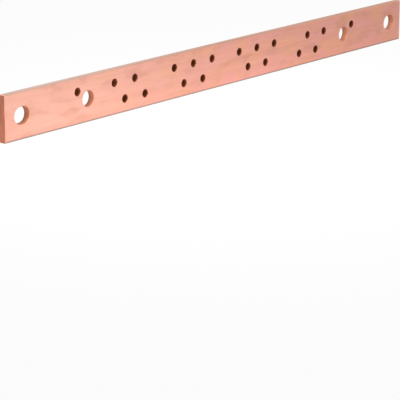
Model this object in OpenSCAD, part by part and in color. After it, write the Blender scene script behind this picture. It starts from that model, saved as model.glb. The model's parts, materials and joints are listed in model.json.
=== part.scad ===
// Copper grounding busbar for an equipment rack.
//
// One flat bar of drawn copper: sawn to length, slotted, drilled and tapped. Bolts through the
// slots near its ends hold it to the rack, or to insulators on it. The main earth conductor is
// bolted through the round terminal holes. Each frame, door or cable shield that has to be
// earthed brings a lug, which is screwed into one of the small tapped holes.
//
// Lengths are in millimetres. X runs along the bar, Y through its thickness with the front
// face at -Y, and Z across its width with the top edge at +Z. The origin is the bar's middle,
// and the left half of the bar mirrors the right half.

/* [Bar] */
// Length from sawn end to sawn end
bar_length = 430; // [424:1:445]
// Width of the flat face
bar_width = 30; // [28:0.5:40]
// Thickness of the bar
bar_thickness = 5; // [3:0.5:10]
// Radius of the four long edges, left by the drawing die
edge_radius = 0.8; // [0.3:0.1:1.2]
// Width of the chamfer filed round each sawn end
end_chamfer = 0.3; // [0.1:0.05:0.6]

/* [Fixing slots] */
// Distance between the two slots, centre to centre
slot_spacing = 400; // [390:1:402]
// Length of a slot, along the bar
slot_length = 13; // [12:0.5:16]
// Width of a slot, which clears an M10 bolt
slot_width = 11; // [9:0.5:11.5]

/* [Terminal holes] */
// Distance between the two terminal holes, centre to centre
terminal_spacing = 280; // [274:1:290]
// Diameter of a terminal hole, a close fit on an M10 bolt
terminal_diameter = 10.5; // [8.4:0.1:11]
// Distance along the bar from a terminal hole out to its companion tapped hole
companion_offset = 10; // [10:0.5:20]

/* [Tapped holes] */
// Bore of a tapped hole, which is the major diameter of its M5 thread
thread_diameter = 5; // [4:0.5:6.5]
// Distance between neighbouring holes of one row
hole_pitch = 20; // [19:0.25:20.5]
// Distance of each row from the bar's centreline
row_offset = 6; // [5:0.25:8]
// Distance from the bar's middle to the first hole of the zigzag, in pitches
first_hole = 0.75; // [0.5:0.05:0.8]
// Number of places in the zigzag on each half of the bar, half a pitch apart
zigzag_places = 11; // [7:1:11]
// First of the two neighbouring places left undrilled, counted from 0
first_skipped = 5; // [1:1:8]

/* [Hole edges] */
// Width of the countersink at both mouths of a tapped hole
countersink = 0.4; // [0.1:0.05:0.8]
// Width of the chamfer at both mouths of a slot or terminal hole
hole_chamfer = 0.4; // [0.1:0.05:0.8]

/* [Hidden] */

$fn = 48;

copper = [0.87, 0.58, 0.47];

// How far a cutter reaches past the face that it cuts
overrun = 1;
// Every chamfer lies at this angle to the faces that it joins
chamfer_angle = 45;
// A chamfer's distance from the edge that it takes off, for each millimetre of its width
chamfer_depth = sin(chamfer_angle);

// The right half's zigzag climbs and falls between the rows: even places lie in the upper row.
function place_x(place) = (first_hole + place / 2) * hole_pitch;
function place_z(place) = place % 2 == 0 ? row_offset : -row_offset;
function is_drilled(place) = place < first_skipped || place > first_skipped + 1;

// Section of the drawn bar: a rectangle whose four corners are round.
module bar_section() {
    flat_thickness = bar_thickness - 2 * edge_radius;
    flat_width = bar_width - 2 * edge_radius;
    square([bar_thickness, flat_width], center = true);
    square([flat_thickness, bar_width], center = true);
    for (front = [-1, 1], top = [-1, 1])
        translate([front * flat_thickness / 2, top * flat_width / 2])
            circle(r = edge_radius);
}

// The bar as it comes off the saw. The section's own X becomes Y, and its Y becomes Z.
module sawn_bar() {
    rotate([90, 0, 90])
        linear_extrude(bar_length, center = true)
            bar_section();
}

// A block that chamfers an edge along Z through the origin, on a solid at its -X and -Y side.
module edge_cut(width, length) {
    block = 4 * width;
    rotate([0, 0, chamfer_angle])
        translate([block / 2 - width * chamfer_depth, 0, 0])
            cube([block, 2 * block, length], center = true);
}

// The four strokes of the file round the sawn end at +X.
module filed_end() {
    for (far_side = [0, 1]) {
        mirror([0, far_side, 0])
            translate([bar_length / 2, bar_thickness / 2, 0])
                edge_cut(end_chamfer, 2 * bar_width);
        mirror([0, 0, far_side])
            translate([bar_length / 2, 0, bar_width / 2])
                rotate([90, 0, 0])
                    edge_cut(end_chamfer, 2 * bar_thickness);
    }
}

// A round hole through the bar at x, z, with the same chamfer at both mouths.
module round_hole(x, z, diameter, chamfer) {
    radius = diameter / 2;
    translate([x, 0, z])
        rotate([90, 0, 0]) {
            cylinder(r = radius, h = bar_thickness + 2 * overrun, center = true);
            for (far_side = [0, 1])
                mirror([0, 0, far_side])
                    translate([0, 0, bar_thickness / 2 - chamfer])
                        cylinder(r1 = radius, r2 = radius + chamfer + overrun,
                                 h = chamfer + overrun);
        }
}

// A slot through the bar at x, lying along it: two round holes with a straight cut between.
// The straight cut's section widens at both faces, so its chamfers run on from the holes' own.
module fixing_slot(x) {
    straight = slot_length - slot_width;
    wall = slot_width / 2;
    mouth = wall + hole_chamfer + overrun;
    chamfer_y = bar_thickness / 2 - hole_chamfer;
    outside_y = bar_thickness / 2 + overrun;
    for (end = [-1, 1])
        round_hole(x + end * straight / 2, 0, slot_width, hole_chamfer);
    translate([x, 0, 0])
        rotate([90, 0, 90])
            linear_extrude(straight, center = true)
                polygon([[-outside_y, -mouth], [-chamfer_y, -wall],
                         [chamfer_y, -wall], [outside_y, -mouth],
                         [outside_y, mouth], [chamfer_y, wall],
                         [-chamfer_y, wall], [-outside_y, mouth]]);
}

module tapped_hole(x, z) {
    round_hole(x, z, thread_diameter, countersink);
}

// All that is cut out of the right half of the bar.
module right_half_cuts() {
    filed_end();
    fixing_slot(slot_spacing / 2);
    round_hole(terminal_spacing / 2, 0, terminal_diameter, hole_chamfer);
    tapped_hole(terminal_spacing / 2 + companion_offset, row_offset);
    for (place = [0 : zigzag_places - 1])
        if (is_drilled(place))
            tapped_hole(place_x(place), place_z(place));
}

module busbar() {
    color(copper)
        difference() {
            sawn_bar();
            right_half_cuts();
            mirror([1, 0, 0])
                right_half_cuts();
        }
}

busbar();
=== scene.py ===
# %% [markdown]
# # A copper grounding busbar
# The real object is one flat bar of bare copper, drawn through a die, sawn to length, and then
# slotted, drilled and tapped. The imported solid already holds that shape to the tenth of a
# millimetre, so nothing here moves or reshapes it. Blender adds what a solid can't say: the
# finish that each tool left, the threads in the small holes, and the light of a small studio.

# %% Load the bar
import json
import math
import bmesh
import bpy
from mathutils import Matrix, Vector

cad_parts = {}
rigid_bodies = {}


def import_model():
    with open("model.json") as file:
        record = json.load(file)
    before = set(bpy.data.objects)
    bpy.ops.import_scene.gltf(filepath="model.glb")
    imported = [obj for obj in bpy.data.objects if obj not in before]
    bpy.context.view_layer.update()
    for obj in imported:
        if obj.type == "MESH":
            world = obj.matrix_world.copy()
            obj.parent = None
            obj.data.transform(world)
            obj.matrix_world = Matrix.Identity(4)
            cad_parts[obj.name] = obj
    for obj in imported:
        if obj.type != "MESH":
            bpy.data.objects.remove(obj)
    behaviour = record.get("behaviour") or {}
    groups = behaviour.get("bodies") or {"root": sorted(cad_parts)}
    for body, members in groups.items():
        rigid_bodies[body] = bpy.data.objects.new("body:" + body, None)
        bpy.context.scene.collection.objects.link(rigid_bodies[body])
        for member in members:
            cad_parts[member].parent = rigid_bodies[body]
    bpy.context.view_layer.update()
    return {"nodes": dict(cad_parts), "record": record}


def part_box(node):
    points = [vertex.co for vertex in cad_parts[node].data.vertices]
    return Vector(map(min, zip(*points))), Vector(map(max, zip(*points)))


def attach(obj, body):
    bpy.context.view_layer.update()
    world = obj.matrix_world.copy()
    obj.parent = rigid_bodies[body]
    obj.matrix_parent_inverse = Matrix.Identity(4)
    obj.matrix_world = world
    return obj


for leftover in list(bpy.data.objects):
    bpy.data.objects.remove(leftover)

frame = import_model()
bar = frame["nodes"]["busbar"]

MILLIMETRE = 0.001
bar_low, bar_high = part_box("busbar")
bar_length, bar_thickness, bar_width = bar_high - bar_low
print("bar, mm:", [round(side / MILLIMETRE, 2) for side in (bar_length, bar_thickness, bar_width)])

# %% [markdown]
# ## The camera
# A long bar looks best foreshortened: the camera stands well to its left, a little above it,
# with a long lens, so that the far end is still nearly four fifths as tall as the near one. A
# Track To constraint could aim it. Two angles and a distance do the same, and each of them can
# be turned up or down by itself.

# %% Place the camera
AIM = Vector((-0.0282, -0.0025, -0.0907))
CAMERA_ROUND = math.radians(51.0)
CAMERA_UP = math.radians(15.63)
CAMERA_DISTANCE = 1.342
LENS = 176.0

camera = bpy.data.objects.new("camera", bpy.data.cameras.new("camera"))
bpy.context.scene.collection.objects.link(camera)
camera.data.lens = LENS
camera.rotation_euler = (math.pi / 2 - CAMERA_UP, 0.0, -CAMERA_ROUND)
away_from_camera = Vector((
    math.sin(CAMERA_ROUND) * math.cos(CAMERA_UP),
    math.cos(CAMERA_ROUND) * math.cos(CAMERA_UP),
    -math.sin(CAMERA_UP),
))
camera.location = AIM - away_from_camera * CAMERA_DISTANCE
bpy.context.scene.camera = camera
print("camera at, m:", [round(value, 3) for value in camera.location])

# %% [markdown]
# ## Small helpers for nodes
# A material is a small machine of nodes. These helpers add one node and return the socket that
# the next one needs, so that each finish below reads as a list of steps.


# %% Node helpers: values and colours
def plug(tree, socket, value):
    """Feeds a socket from another socket, or sets it to a plain value."""
    if isinstance(value, bpy.types.NodeSocket):
        tree.links.new(value, socket)
    else:
        socket.default_value = value


def calculate(tree, operation, first, second=0.0):
    """One step of arithmetic between two values."""
    node = tree.nodes.new("ShaderNodeMath")
    node.operation = operation
    plug(tree, node.inputs[0], first)
    plug(tree, node.inputs[1], second)
    return node.outputs[0]


def weigh(tree, first, second, share):
    """A blend of two values, of which the first makes up the given share."""
    return calculate(tree, "ADD", calculate(tree, "MULTIPLY", first, share),
                     calculate(tree, "MULTIPLY", second, 1.0 - share))


def spread(tree, value, low, high, new_low=0.0, new_high=1.0):
    """Maps the range from low to high onto a new one, and stops at its ends."""
    node = tree.nodes.new("ShaderNodeMapRange")
    for socket, number in zip(node.inputs, (value, low, high, new_low, new_high)):
        plug(tree, socket, number)
    return node.outputs["Result"]


def mix_colours(tree, amount, first, second):
    """A colour between two others: the first at 0, the second at 1."""
    node = tree.nodes.new("ShaderNodeMix")
    node.data_type = "RGBA"
    plug(tree, node.inputs["Factor"], amount)
    plug(tree, node.inputs[6], first)
    plug(tree, node.inputs[7], second)
    return node.outputs[2]


# %% Node helpers: places and noise
def place(tree):
    """The place on the object, in metres."""
    return tree.nodes.new("ShaderNodeTexCoord").outputs["Object"]


def split_place(tree):
    """The place on the object, as three sockets named X, Y and Z."""
    node = tree.nodes.new("ShaderNodeSeparateXYZ")
    plug(tree, node.inputs[0], place(tree))
    return node.outputs


def noise(tree, cycles_per_metre, detail=2.0, roughness=0.5, tilt=0.0):
    """Noise on the object's own coordinates, with its own fineness along X, Y and Z.

    A tilt turns it about Y, in the plane of the wide faces.
    """
    stretch = tree.nodes.new("ShaderNodeMapping")
    plug(tree, stretch.inputs["Vector"], place(tree))
    stretch.inputs["Scale"].default_value = cycles_per_metre
    stretch.inputs["Rotation"].default_value = (0.0, tilt, 0.0)
    pattern = tree.nodes.new("ShaderNodeTexNoise")
    plug(tree, pattern.inputs["Vector"], stretch.outputs["Vector"])
    pattern.inputs["Scale"].default_value = 1.0
    pattern.inputs["Detail"].default_value = detail
    pattern.inputs["Roughness"].default_value = roughness
    return pattern.outputs["Fac"]


# %% Node helpers: groups
def new_group(name, *inputs):
    """An empty node group, which several materials can share, with its named inputs."""
    group = bpy.data.node_groups.new(name, "ShaderNodeTree")
    for label in inputs:
        group.interface.new_socket(label, in_out="INPUT", socket_type="NodeSocketFloat")
    return group


def given(group):
    """What a material hands to a group, by the name of the input."""
    return group.nodes.new("NodeGroupInput").outputs


def hand_back(group, results):
    """Gives a node group one named output for each of its results."""
    for label in results:
        group.interface.new_socket(label, in_out="OUTPUT", socket_type="NodeSocketFloat")
    outlet = group.nodes.new("NodeGroupOutput")
    for label, value in results.items():
        plug(group, outlet.inputs[label], value)
    print("group:", group.name, list(results))


def use_group(tree, group, **values):
    """Puts a group into a material with that material's own values, and returns its outputs."""
    node = tree.nodes.new("ShaderNodeGroup")
    node.node_tree = group
    for label, value in values.items():
        node.inputs[label].default_value = value
    return node.outputs


# %% [markdown]
# ## Drawn copper
# Pulling the bar through a die leaves fine lines along it, from hairlines to bands a few
# millimetres wide. A picture of brushed metal would repeat along a bar this long. Noise that is
# stretched far further along X than across never does, and needs no file. The group is given the
# depth of the lines in metres, and hands back a tone for the colour and the roughness, and a
# height for the bump. Noise seldom strays far from a half, so the tone's narrow range is spread
# to a full one.

# %% Group: drawing lines
BAND_CYCLES = (9.0, 240.0, 240.0)
HAIRLINE_CYCLES = (22.0, 2600.0, 2600.0)
BAND_SHARE = 0.65
LINE_RANGE = (0.30, 0.70)

drawing_lines = new_group("drawing lines", "Depth")
bands = noise(drawing_lines, BAND_CYCLES, roughness=0.6)
hairlines = noise(drawing_lines, HAIRLINE_CYCLES, roughness=0.6)
hand_back(drawing_lines, {
    "Tone": spread(drawing_lines, weigh(drawing_lines, bands, hairlines, BAND_SHARE), *LINE_RANGE),
    "Height": calculate(drawing_lines, "MULTIPLY", hairlines, given(drawing_lines)["Depth"]),
})

# %% [markdown]
# ## Tarnish, and a ramp of painted light
# Bare copper never stays one colour. Within days, air and fingers turn it slightly pinker in
# one place and browner in another, in soft clouds a centimetre or two across. A ramp along X
# carries painted light: the left end, nearest the lamp, is painted palest, and the right-hand
# holes' walls brighter. All of this could be painted by hand, but two noises also reach into the
# threads. The group is given the strength of the stains.

# %% Group: tarnish clouds and a ramp of painted light
CLOUD_CYCLES = (45.0, 100.0, 100.0)
CLOUD_RANGE = (0.35, 0.65)
STAIN_CYCLES = (60.0, 160.0, 160.0)
STAIN_RANGE = (0.50, 0.72)
# Where the ramp of painted light is full, at the left end, and where it is gone.
PAINTED_LIGHT_FULL_AT = -170.0 * MILLIMETRE
PAINTED_LIGHT_GONE_AT = -10.0 * MILLIMETRE

tarnish_and_light_ramp = new_group("tarnish clouds", "Strength")
stain = spread(tarnish_and_light_ramp, noise(tarnish_and_light_ramp, STAIN_CYCLES, detail=3.0), *STAIN_RANGE)
hand_back(tarnish_and_light_ramp, {
    "Cloud": spread(tarnish_and_light_ramp, noise(tarnish_and_light_ramp, CLOUD_CYCLES), *CLOUD_RANGE),
    "Stain": calculate(tarnish_and_light_ramp, "MULTIPLY", stain, given(tarnish_and_light_ramp)["Strength"]),
    # A ramp along X, one at the left end, which carries painted light and shade, not tarnish.
    "Wiped": spread(tarnish_and_light_ramp, split_place(tarnish_and_light_ramp)["X"], PAINTED_LIGHT_FULL_AT, PAINTED_LIGHT_GONE_AT, 1.0, 0.0),
})

# %% [markdown]
# ## Scratches
# Lugs slide a little before their screws are tight, and the bar lies among others in its box.
# Both leave short, shallow scratches, slightly askew to the bar. Real grooves that fine would
# take millions of faces, so they are drawn: they are the thin crests of a noise that is stretched
# along a tilted axis. The group is given how strongly they show and how deep they are.

# %% Group: scratches
SCRATCH_CYCLES = (45.0, 300.0, 1900.0)
SCRATCH_TILTS = (math.radians(14), math.radians(-22))
CREST_RANGE = (0.70, 0.78)

scratches = new_group("scratches", "Strength", "Depth")
asked = given(scratches)
first_way, second_way = [
    spread(scratches, noise(scratches, SCRATCH_CYCLES, detail=0.0, tilt=tilt), *CREST_RANGE)
    for tilt in SCRATCH_TILTS
]
scratched = calculate(scratches, "MAXIMUM", first_way, second_way)
hand_back(scratches, {
    "Tone": calculate(scratches, "MULTIPLY", scratched, asked["Strength"]),
    "Height": calculate(scratches, "SUBTRACT", 0.0,
                        calculate(scratches, "MULTIPLY", scratched, asked["Depth"])),
})

# %% [markdown]
# ## Tool marks
# A drill leaves rings round a hole, and a saw leaves lines down a sawn end. Both lie in planes
# across the bar's thickness, so one pattern serves both: noise that changes quickly along Y and
# slowly along X and Z. A wave texture would be quicker to set up, but its lines are all alike.

# %% Group: tool marks
RING_CYCLES = (70.0, 900.0, 70.0)
GROOVE_CYCLES = (90.0, 5000.0, 90.0)
RING_SHARE = 0.7
MARK_RANGE = (0.35, 0.65)

tool_marks = new_group("tool marks", "Depth")
rings = noise(tool_marks, RING_CYCLES, roughness=0.6)
grooves = noise(tool_marks, GROOVE_CYCLES, detail=1.0)
hand_back(tool_marks, {
    "Tone": spread(tool_marks, weigh(tool_marks, rings, grooves, RING_SHARE), *MARK_RANGE),
    "Height": calculate(tool_marks, "MULTIPLY", grooves, given(tool_marks)["Depth"]),
})

# %% [markdown]
# ## One bar, several surfaces
# The die drew the wide faces bright and left the narrow sides rougher. Round the long edges,
# the top strip and the bottom strip are painted darker: painted shade. The drill went through
# the wide holes to bare metal, and their walls are painted darker towards the back: painted
# shade. Their chamfers, and the file's strokes round the ends, are a matt cut. The tapped holes
# are dark, from cutting oil and from painted shade, and the saw left the ends rough. Faces could
# be picked and given materials of their own, but every surface here is easy to name by its place
# in the bar, and masks can fade into each other. So this group hands back one mask for each
# surface, and a ramp through the thickness for the painted shade in the holes. The frame's mounts
# say where the holes are and how wide, and the widths of the chamfers and of the painted shade
# strips are given here.

# %% Where the holes are
HOLE_CHAMFER = 0.4 * MILLIMETRE
COUNTERSINK = 0.4 * MILLIMETRE
SKIN = 0.05 * MILLIMETRE

mounts = {mount["name"]: mount for mount in frame["record"]["mounts"]}
tapped_rows = [mount for name, mount in mounts.items() if "taps" in name]
bore_radius = tapped_rows[0]["dims"]["hole_r_mm"] * MILLIMETRE
taps_end_z = tapped_rows[0]["pos_m"][2] + bore_radius + COUNTERSINK + SKIN


def wide_hole_reach(name):
    """How far from the bar's middle a pair of wide holes starts and ends, chamfers included."""
    dims = mounts[name]["dims"]
    middle = dims["spacing_x_mm"] / 2 * MILLIMETRE
    length = dims.get("slot_length_mm", 2 * dims["hole_r_mm"]) * MILLIMETRE
    half = length / 2 + HOLE_CHAMFER + SKIN
    return middle - half, middle + half


slots = wide_hole_reach("fixing_slots")
terminals = wide_hole_reach("terminal_holes")
print("slots and terminal holes, mm:",
      [round(end / MILLIMETRE, 2) for end in (*slots, *terminals)])

# %% Masks by place
surfaces = new_group("surfaces by place")
axes = split_place(surfaces)


def beyond(axis, limit):
    """One where the place is further from the middle than the limit along an axis, else zero."""
    return calculate(surfaces, "GREATER_THAN",
                     calculate(surfaces, "ABSOLUTE", axes[axis]), limit)


def within(axis, limit):
    """One where the place is nearer to the middle than the limit along an axis, else zero."""
    return calculate(surfaces, "LESS_THAN",
                     calculate(surfaces, "ABSOLUTE", axes[axis]), limit)


def either(first, second):
    """One where at least one of two masks is one."""
    return calculate(surfaces, "MAXIMUM", first, second)


def both(first, second):
    """One where both masks are one."""
    return calculate(surfaces, "MULTIPLY", first, second)


def without(first, second):
    """The first mask less the second, which lies inside it."""
    return calculate(surfaces, "SUBTRACT", first, second)


# %% Walls of the holes
below_faces = within("Y", bar_thickness / 2 - SKIN)
among_holes = both(within("X", slots[1]), within("Z", taps_end_z))
hole_wall = both(below_faces, among_holes)
at_slots = beyond("X", slots[0])
at_terminals = both(beyond("X", terminals[0]), within("X", terminals[1]))
drilled = both(hole_wall, either(at_slots, at_terminals))
tapped = without(hole_wall, drilled)
print("a hole's wall lies less than, mm:",
      [round(limit / MILLIMETRE, 2) for limit in (slots[1], taps_end_z)], "along and across")

# %% Group: surfaces by place
END_CHAMFER = 0.3 * MILLIMETRE
# How far the painted shade reaches down from the top and up from the bottom.
TOP_SHADE_BAND = (0.55 * MILLIMETRE, 0.20 * MILLIMETRE)
BOTTOM_SHADE_BAND = (1.4 * MILLIMETRE, 0.7 * MILLIMETRE)

sawn = beyond("X", bar_length / 2 - SKIN)
filed = without(beyond("X", bar_length / 2 - END_CHAMFER), sawn)
chamfered = both(drilled, beyond("Y", bar_thickness / 2 - HOLE_CHAMFER))
hand_back(surfaces, {
    # Painted shade: the top strip and the bottom strip are painted darker.
    "Side": spread(surfaces, axes["Z"], *[bar_high.z - below for below in TOP_SHADE_BAND]),
    "Underside": spread(surfaces, axes["Z"], *[bar_low.z + above for above in BOTTOM_SHADE_BAND]),
    "Drilled": drilled,
    "Sawn": sawn,
    "Rim": either(filed, chamfered),
    "Tapped": tapped,
    "Countersunk": both(tapped, beyond("Y", bar_thickness / 2 - COUNTERSINK)),
    # A ramp from the front face to the back, for painted shade deep in the wide holes.
    "Inward": spread(surfaces, axes["Y"], bar_low.y, bar_high.y),
})

# %% [markdown]
# ## The bar's material
# All of it is one metal, so it is one Principled shader with a Metallic of 1. The groups only
# steer its colour, roughness and bump: the drawn skin first, and then each finish and each patch
# of painted light and shade over it, where its mask says so. A later one covers an earlier one.

# %% Copper's colours
PINK_COPPER = (0.885, 0.408, 0.350, 1.0)
ORANGE_COPPER = (0.866, 0.433, 0.290, 1.0)
# Painted light: the left end of the wide faces is painted this paler colour.
PAINTED_LIT_COPPER = (0.885, 0.480, 0.375, 1.0)
BROWN_STAIN = (0.640, 0.300, 0.220, 1.0)
SCRATCHED = (0.950, 0.520, 0.400, 1.0)
# Painted shade: the top strip is painted these darker colours.
PAINTED_SHADE_TOP = (0.600, 0.340, 0.250, 1.0)
PAINTED_SHADE_TOP_LINES = (0.490, 0.270, 0.195, 1.0)
# Painted light: the top strip is painted paler at the left end.
PAINTED_LIT_TOP = (0.565, 0.388, 0.322, 1.0)
# Painted shade: the bottom strip, over the shadow on the floor, is painted darker.
PAINTED_SHADE_UNDERSIDE = (0.440, 0.285, 0.225, 1.0)
# Painted light: the walls of the right-hand wide holes are painted this brighter colour.
PAINTED_LIT_WALL = (0.860, 0.390, 0.230, 1.0)
DRILLED_COPPER = (0.760, 0.300, 0.165, 1.0)
DRILLED_RING = (0.530, 0.205, 0.115, 1.0)
# Painted shade: deep in the wide holes the walls are painted these dark colours, darkest at the
# left end.
DEEP_WALL_SHADE = (0.390, 0.165, 0.104, 1.0)
DEEP_WALL_SHADE_LEFT = (0.280, 0.112, 0.068, 1.0)
SAWN_COPPER = (0.600, 0.245, 0.160, 1.0)
SAWN_LINE = (0.370, 0.125, 0.082, 1.0)
CHAMFERED = (0.800, 0.370, 0.235, 1.0)
# Cutting oil and painted shade: the tapped walls and their countersinks are painted dark, which
# also keeps highlights off them.
TAPPED_WALL_OIL_AND_SHADE = (0.190, 0.055, 0.026, 1.0)
COUNTERSINK_OIL_AND_SHADE = (0.330, 0.125, 0.070, 1.0)


# %% Start the bar's material
def new_metal(name):
    """A material whose Principled shader is all metal, its node tree and that shader."""
    material = bpy.data.materials.new(name)
    material.use_nodes = True
    shader = material.node_tree.nodes["Principled BSDF"]
    shader.inputs["Metallic"].default_value = 1.0
    return material, material.node_tree, shader


HAIRLINE_DEPTH = 0.0014 * MILLIMETRE
SCRATCH_DEPTH = 0.003 * MILLIMETRE
GROOVE_DEPTH = 0.004 * MILLIMETRE
STAIN_STRENGTH = 0.50
SCRATCH_STRENGTH = 0.30

copper, tree, shader = new_metal("bare copper")
lines = use_group(tree, drawing_lines, Depth=HAIRLINE_DEPTH)
tarnish_and_light = use_group(tree, tarnish_and_light_ramp, Strength=STAIN_STRENGTH)
scuffs = use_group(tree, scratches, Strength=SCRATCH_STRENGTH, Depth=SCRATCH_DEPTH)
marks = use_group(tree, tool_marks, Depth=GROOVE_DEPTH)
surface = use_group(tree, surfaces)
print("material:", copper.name)

# %% Bare copper: colour
LINE_STRENGTH = 0.34

skin = mix_colours(tree, tarnish_and_light["Cloud"], PINK_COPPER, ORANGE_COPPER)
# Painted light: the ramp paints the left end paler.
skin = mix_colours(tree, tarnish_and_light["Wiped"], skin, PAINTED_LIT_COPPER)
skin = mix_colours(tree, tarnish_and_light["Stain"], skin, BROWN_STAIN)
skin = mix_colours(tree, calculate(tree, "MULTIPLY", lines["Tone"], LINE_STRENGTH), skin,
                   BROWN_STAIN)
skin = mix_colours(tree, scuffs["Tone"], skin, SCRATCHED)

# Painted shade on the top strip, with the drawing lines in it.
top_painted_shade = mix_colours(tree, lines["Tone"], PAINTED_SHADE_TOP, PAINTED_SHADE_TOP_LINES)
ringed_wall = mix_colours(tree, marks["Tone"], DRILLED_COPPER, DRILLED_RING)
# Painted light: the right-hand wide holes get brighter walls, and the left ones keep their drill
# rings.
front_wall_with_painted_light = mix_colours(tree, tarnish_and_light["Wiped"], PAINTED_LIT_WALL, ringed_wall)
# Painted shade: the deep part of the wide holes' walls, darker at the left end.
deep_wall_painted_shade = mix_colours(tree, tarnish_and_light["Wiped"], DEEP_WALL_SHADE, DEEP_WALL_SHADE_LEFT)
finishes_and_painted_shade = {
    # Painted shade on the top strip, which is painted paler at the left end.
    "Side": mix_colours(tree, tarnish_and_light["Wiped"], top_painted_shade, PAINTED_LIT_TOP),
    # Painted shade: the bottom strip.
    "Underside": PAINTED_SHADE_UNDERSIDE,
    # Painted shade: the wide holes' walls darken from the front face to the back.
    "Drilled": mix_colours(tree, surface["Inward"], front_wall_with_painted_light, deep_wall_painted_shade),
    "Sawn": mix_colours(tree, marks["Tone"], SAWN_COPPER, SAWN_LINE),
    "Rim": CHAMFERED,
    # Cutting oil and painted shade in the tapped holes.
    "Tapped": TAPPED_WALL_OIL_AND_SHADE,
    "Countersunk": COUNTERSINK_OIL_AND_SHADE,
}
colour = skin
for label, finish in finishes_and_painted_shade.items():
    colour = mix_colours(tree, surface[label], colour, finish)
plug(tree, shader.inputs["Base Color"], colour)
print("finishes over the skin:", list(finishes_and_painted_shade))

# %% Bare copper: roughness
SKIN_ROUGHNESS = 0.36
UNEVENNESS = 0.07
EXTRA_ROUGHNESS = {"Side": 0.10, "Underside": 0.10, "Drilled": 0.06, "Sawn": 0.16, "Rim": 0.22,
                   "Tapped": 0.08}

uneven = calculate(tree, "ADD", tarnish_and_light["Cloud"], lines["Tone"])
roughness = calculate(tree, "ADD", SKIN_ROUGHNESS,
                      calculate(tree, "MULTIPLY", uneven, UNEVENNESS))
for label, extra in EXTRA_ROUGHNESS.items():
    roughness = calculate(tree, "ADD", roughness,
                          calculate(tree, "MULTIPLY", surface[label], extra))
plug(tree, shader.inputs["Roughness"], roughness)
print("rougher than the skin:", EXTRA_ROUGHNESS)

# %% Bare copper: bump
cut = calculate(tree, "MAXIMUM", surface["Sawn"],
                calculate(tree, "ADD", surface["Drilled"], surface["Tapped"]))
drawn = calculate(tree, "SUBTRACT", 1.0, cut)
skin_height = calculate(tree, "ADD", lines["Height"], scuffs["Height"])
height = calculate(tree, "ADD", calculate(tree, "MULTIPLY", skin_height, drawn),
                   calculate(tree, "MULTIPLY", marks["Height"], cut))
bump = tree.nodes.new("ShaderNodeBump")
bump.inputs["Distance"].default_value = 1.0
plug(tree, bump.inputs["Height"], height)
plug(tree, shader.inputs["Normal"], bump.outputs["Normal"])

bar.data.materials[0] = copper
print("the bar wears:", bar.data.materials[0].name)

# %% [markdown]
# ## The threads
# Each small hole is tapped for an M5 screw. The solid's bore reaches to the bottom of the
# thread's grooves, so what is missing is the ridge that winds up it. The standard gives its form:
# 0.8 millimetres of pitch, flanks at 60 degrees, a crest a quarter of the pitch wide, and a groove
# an eighth of it wide. Bump alone would look flat from the side, so the ridge is modelled. A Screw
# modifier could wind it, but one spin that also climbs leaves a plain mesh at once. The
# countersinks then take their share off its first and last turns, as on the real bar.

# %% Thread sizes
PITCH = 0.8 * MILLIMETRE
FLANK_ANGLE = math.radians(60)
CREST_WIDTH = PITCH / 4
BASE_WIDTH = PITCH * 7 / 8
STEPS_PER_TURN = 36
OVERLAP = 0.02 * MILLIMETRE
SHARP_ANGLE = math.radians(30)

ridge_height = (BASE_WIDTH - CREST_WIDTH) / 2 / math.tan(FLANK_ANGLE / 2)
crest_radius = bore_radius - ridge_height
print("thread's inner diameter, mm:", round(2 * crest_radius / MILLIMETRE, 3))

hole_places = []
for mount in tapped_rows:
    half_spacing = mount["dims"]["spacing_x_mm"] * MILLIMETRE / 2
    for offset in (-half_spacing, half_spacing):
        hole_places.append(Vector(mount["pos_m"]) + Vector((offset, 0, 0)))
print("tapped holes:", len(hole_places))


# %% One ridge
def wind_ridge(mesh):
    """Spins the ridge's section up a hole round the Y axis, and returns the number of steps."""
    climb = bar_thickness - BASE_WIDTH - 2 * OVERLAP
    turns = climb / PITCH
    steps = round(turns * STEPS_PER_TURN)
    section = [
        (bore_radius + OVERLAP, -BASE_WIDTH / 2),
        (crest_radius, -CREST_WIDTH / 2),
        (crest_radius, CREST_WIDTH / 2),
        (bore_radius + OVERLAP, BASE_WIDTH / 2),
    ]
    corners = [mesh.verts.new((radius, along - climb / 2, 0)) for radius, along in section]
    start = mesh.faces.new(corners)
    bmesh.ops.spin(
        mesh, geom=corners + list(start.edges) + [start], cent=(0, 0, 0), axis=(0, 1, 0),
        dvec=(0, climb / steps, 0), angle=turns * math.tau, steps=steps,
        use_merge=False, use_duplicate=False)
    return steps


def countersink_ridge(mesh):
    """Pushes whatever stands in the way of the countersinks back to their cones."""
    for vertex in mesh.verts:
        depth = bar_thickness / 2 - abs(vertex.co.y)
        cone = bore_radius + COUNTERSINK - depth
        if depth < COUNTERSINK:
            # Inside the mouth nothing is left of the ridge, so it hides in the metal there.
            cone += OVERLAP
        radius = math.hypot(vertex.co.x, vertex.co.z)
        target = max(radius, cone)
        vertex.co.x *= target / radius
        vertex.co.z *= target / radius


ridge = bmesh.new()
steps = wind_ridge(ridge)
countersink_ridge(ridge)
bmesh.ops.recalc_face_normals(ridge, faces=ridge.faces)
print("one ridge:", steps, "steps,", len(ridge.faces), "faces")


# %% Threads in every tapped hole
def only_vertices(pieces):
    """The vertices among some vertices, edges and faces."""
    return [piece for piece in pieces if isinstance(piece, bmesh.types.BMVert)]


pattern = list(ridge.verts) + list(ridge.edges) + list(ridge.faces)
for hole in hole_places[1:]:
    copy = bmesh.ops.duplicate(ridge, geom=pattern)["geom"]
    bmesh.ops.translate(ridge, vec=hole, verts=only_vertices(copy))
bmesh.ops.translate(ridge, vec=hole_places[0], verts=only_vertices(pattern))

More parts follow.
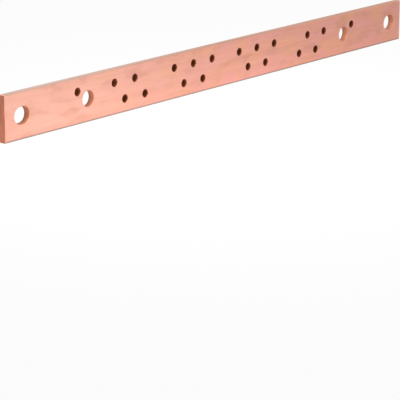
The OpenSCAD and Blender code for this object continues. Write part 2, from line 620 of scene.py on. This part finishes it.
threads_mesh = bpy.data.meshes.new("threads")
ridge.to_mesh(threads_mesh)
ridge.free()
threads_mesh.shade_smooth()
threads_mesh.set_sharp_from_angle(angle=SHARP_ANGLE)
threads = bpy.data.objects.new("threads", threads_mesh)
bpy.context.scene.collection.objects.link(threads)
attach(threads, "root")
print("threads:", len(threads_mesh.polygons), "faces")

# %% [markdown]
# ## The threads' material
# A tap cuts less cleanly than a die draws, and a trace of cutting oil stays in the grooves. So
# the thread is rougher than the drawn skin, and painted darker: cutting oil and painted shade. It
# is a piece of its own, so it can have a material of its own, and the tarnish group serves it
# again.

# %% Material: tapped copper
# Cutting oil and painted shade: the thread is painted dark.
THREAD_OIL_AND_SHADE = (0.200, 0.050, 0.020, 1.0)
THREAD_DEEPER_OIL_AND_SHADE = (0.140, 0.033, 0.011, 1.0)
THREAD_ROUGHNESS = (0.42, 0.55)

tapped_copper, tree, shader = new_metal("tapped copper")
tarnish_and_light = use_group(tree, tarnish_and_light_ramp, Strength=1.0)
plug(tree, shader.inputs["Base Color"],
     mix_colours(tree, tarnish_and_light["Cloud"], THREAD_OIL_AND_SHADE, THREAD_DEEPER_OIL_AND_SHADE))
plug(tree, shader.inputs["Roughness"], spread(tree, tarnish_and_light["Stain"], 0.0, 1.0, *THREAD_ROUGHNESS))
threads_mesh.materials.append(tapped_copper)
print("the threads wear:", tapped_copper.name)

# %% [markdown]
# ## The studio
# The bar stands on a sheet of white paper in a white room. More lamps would turn the paper white
# and bleach the copper too. Instead, Light Path tells what a ray is for: one from the camera sees
# nearly plain white, and only a little of the light that really falls on the paper, which keeps a
# faint shadow under the bar. One that the metal mirrors sees more of that light. The one lamp is a
# softbox with a grid, near the left end, so the paper in front of that end is the brightest, and
# the bar mirrors that.


# %% What a ray sees
def plain_white(tree, camera_share, mirror_share):
    """How much plain white a ray sees: from the camera, or by way of metal or glass."""
    ray = tree.nodes.new("ShaderNodeLightPath").outputs
    mirrored = calculate(tree, "MAXIMUM", ray["Is Glossy Ray"], ray["Is Transmission Ray"])
    return calculate(tree, "MAXIMUM",
                     calculate(tree, "MULTIPLY", ray["Is Camera Ray"], camera_share),
                     calculate(tree, "MULTIPLY", mirrored, mirror_share))


# %% Floor
FLOOR_SIZE = 6.0
PAPER = (0.9, 0.9, 0.9, 1.0)
CAMERA_SHARE = 0.95
MIRROR_SHARE = 0.38

floor_mesh = bpy.data.meshes.new("floor")
sheet = bmesh.new()
bmesh.ops.create_grid(sheet, x_segments=1, y_segments=1, size=FLOOR_SIZE)
bmesh.ops.translate(sheet, vec=(0, 0, bar_low.z), verts=sheet.verts)
sheet.to_mesh(floor_mesh)
sheet.free()
floor = bpy.data.objects.new("floor", floor_mesh)
bpy.context.scene.collection.objects.link(floor)

paper = bpy.data.materials.new("paper")
paper.use_nodes = True
tree = paper.node_tree
tree.nodes.clear()
lit = tree.nodes.new("ShaderNodeBsdfDiffuse")
lit.inputs["Color"].default_value = PAPER
white = tree.nodes.new("ShaderNodeEmission")
mixed = tree.nodes.new("ShaderNodeMixShader")
plug(tree, mixed.inputs["Fac"], plain_white(tree, CAMERA_SHARE, MIRROR_SHARE))
plug(tree, mixed.inputs[1], lit.outputs["BSDF"])
plug(tree, mixed.inputs[2], white.outputs["Emission"])
outlet = tree.nodes.new("ShaderNodeOutputMaterial")
plug(tree, outlet.inputs["Surface"], mixed.outputs["Shader"])
floor_mesh.materials.append(paper)
print("floor at z, mm:", round(bar_low.z / MILLIMETRE, 2))

# %% World
ROOM_LIGHT = 0.43
WHITE = (1.0, 1.0, 1.0, 1.0)

world = bpy.data.worlds.new("room")
bpy.context.scene.world = world
world.use_nodes = True
tree = world.node_tree
room = tree.nodes["Background"]
room.inputs["Color"].default_value = WHITE
plug(tree, room.inputs["Strength"],
     spread(tree, plain_white(tree, 1.0, 1.0), 0.0, 1.0, ROOM_LIGHT, 1.0))
print("room light:", ROOM_LIGHT)

# %% Lamp
KEY_PLACE = Vector((-0.40, -0.15, 0.60))
KEY_AIM = Vector((-0.10, -0.10, 0.0))
KEY_SIZE = 0.3
KEY_POWER = 0.72
KEY_BEAM = math.radians(50)

key = bpy.data.objects.new("key", bpy.data.lights.new("key", "AREA"))
bpy.context.scene.collection.objects.link(key)
key.data.size = KEY_SIZE
key.data.energy = KEY_POWER
key.data.spread = KEY_BEAM
key.location = KEY_PLACE
key.rotation_euler = (KEY_AIM - KEY_PLACE).to_track_quat("-Z", "Y").to_euler()
key.visible_camera = False
bpy.context.scene.view_settings.view_transform = "Standard"
print("lamp at, m:", [round(value, 3) for value in key.location])
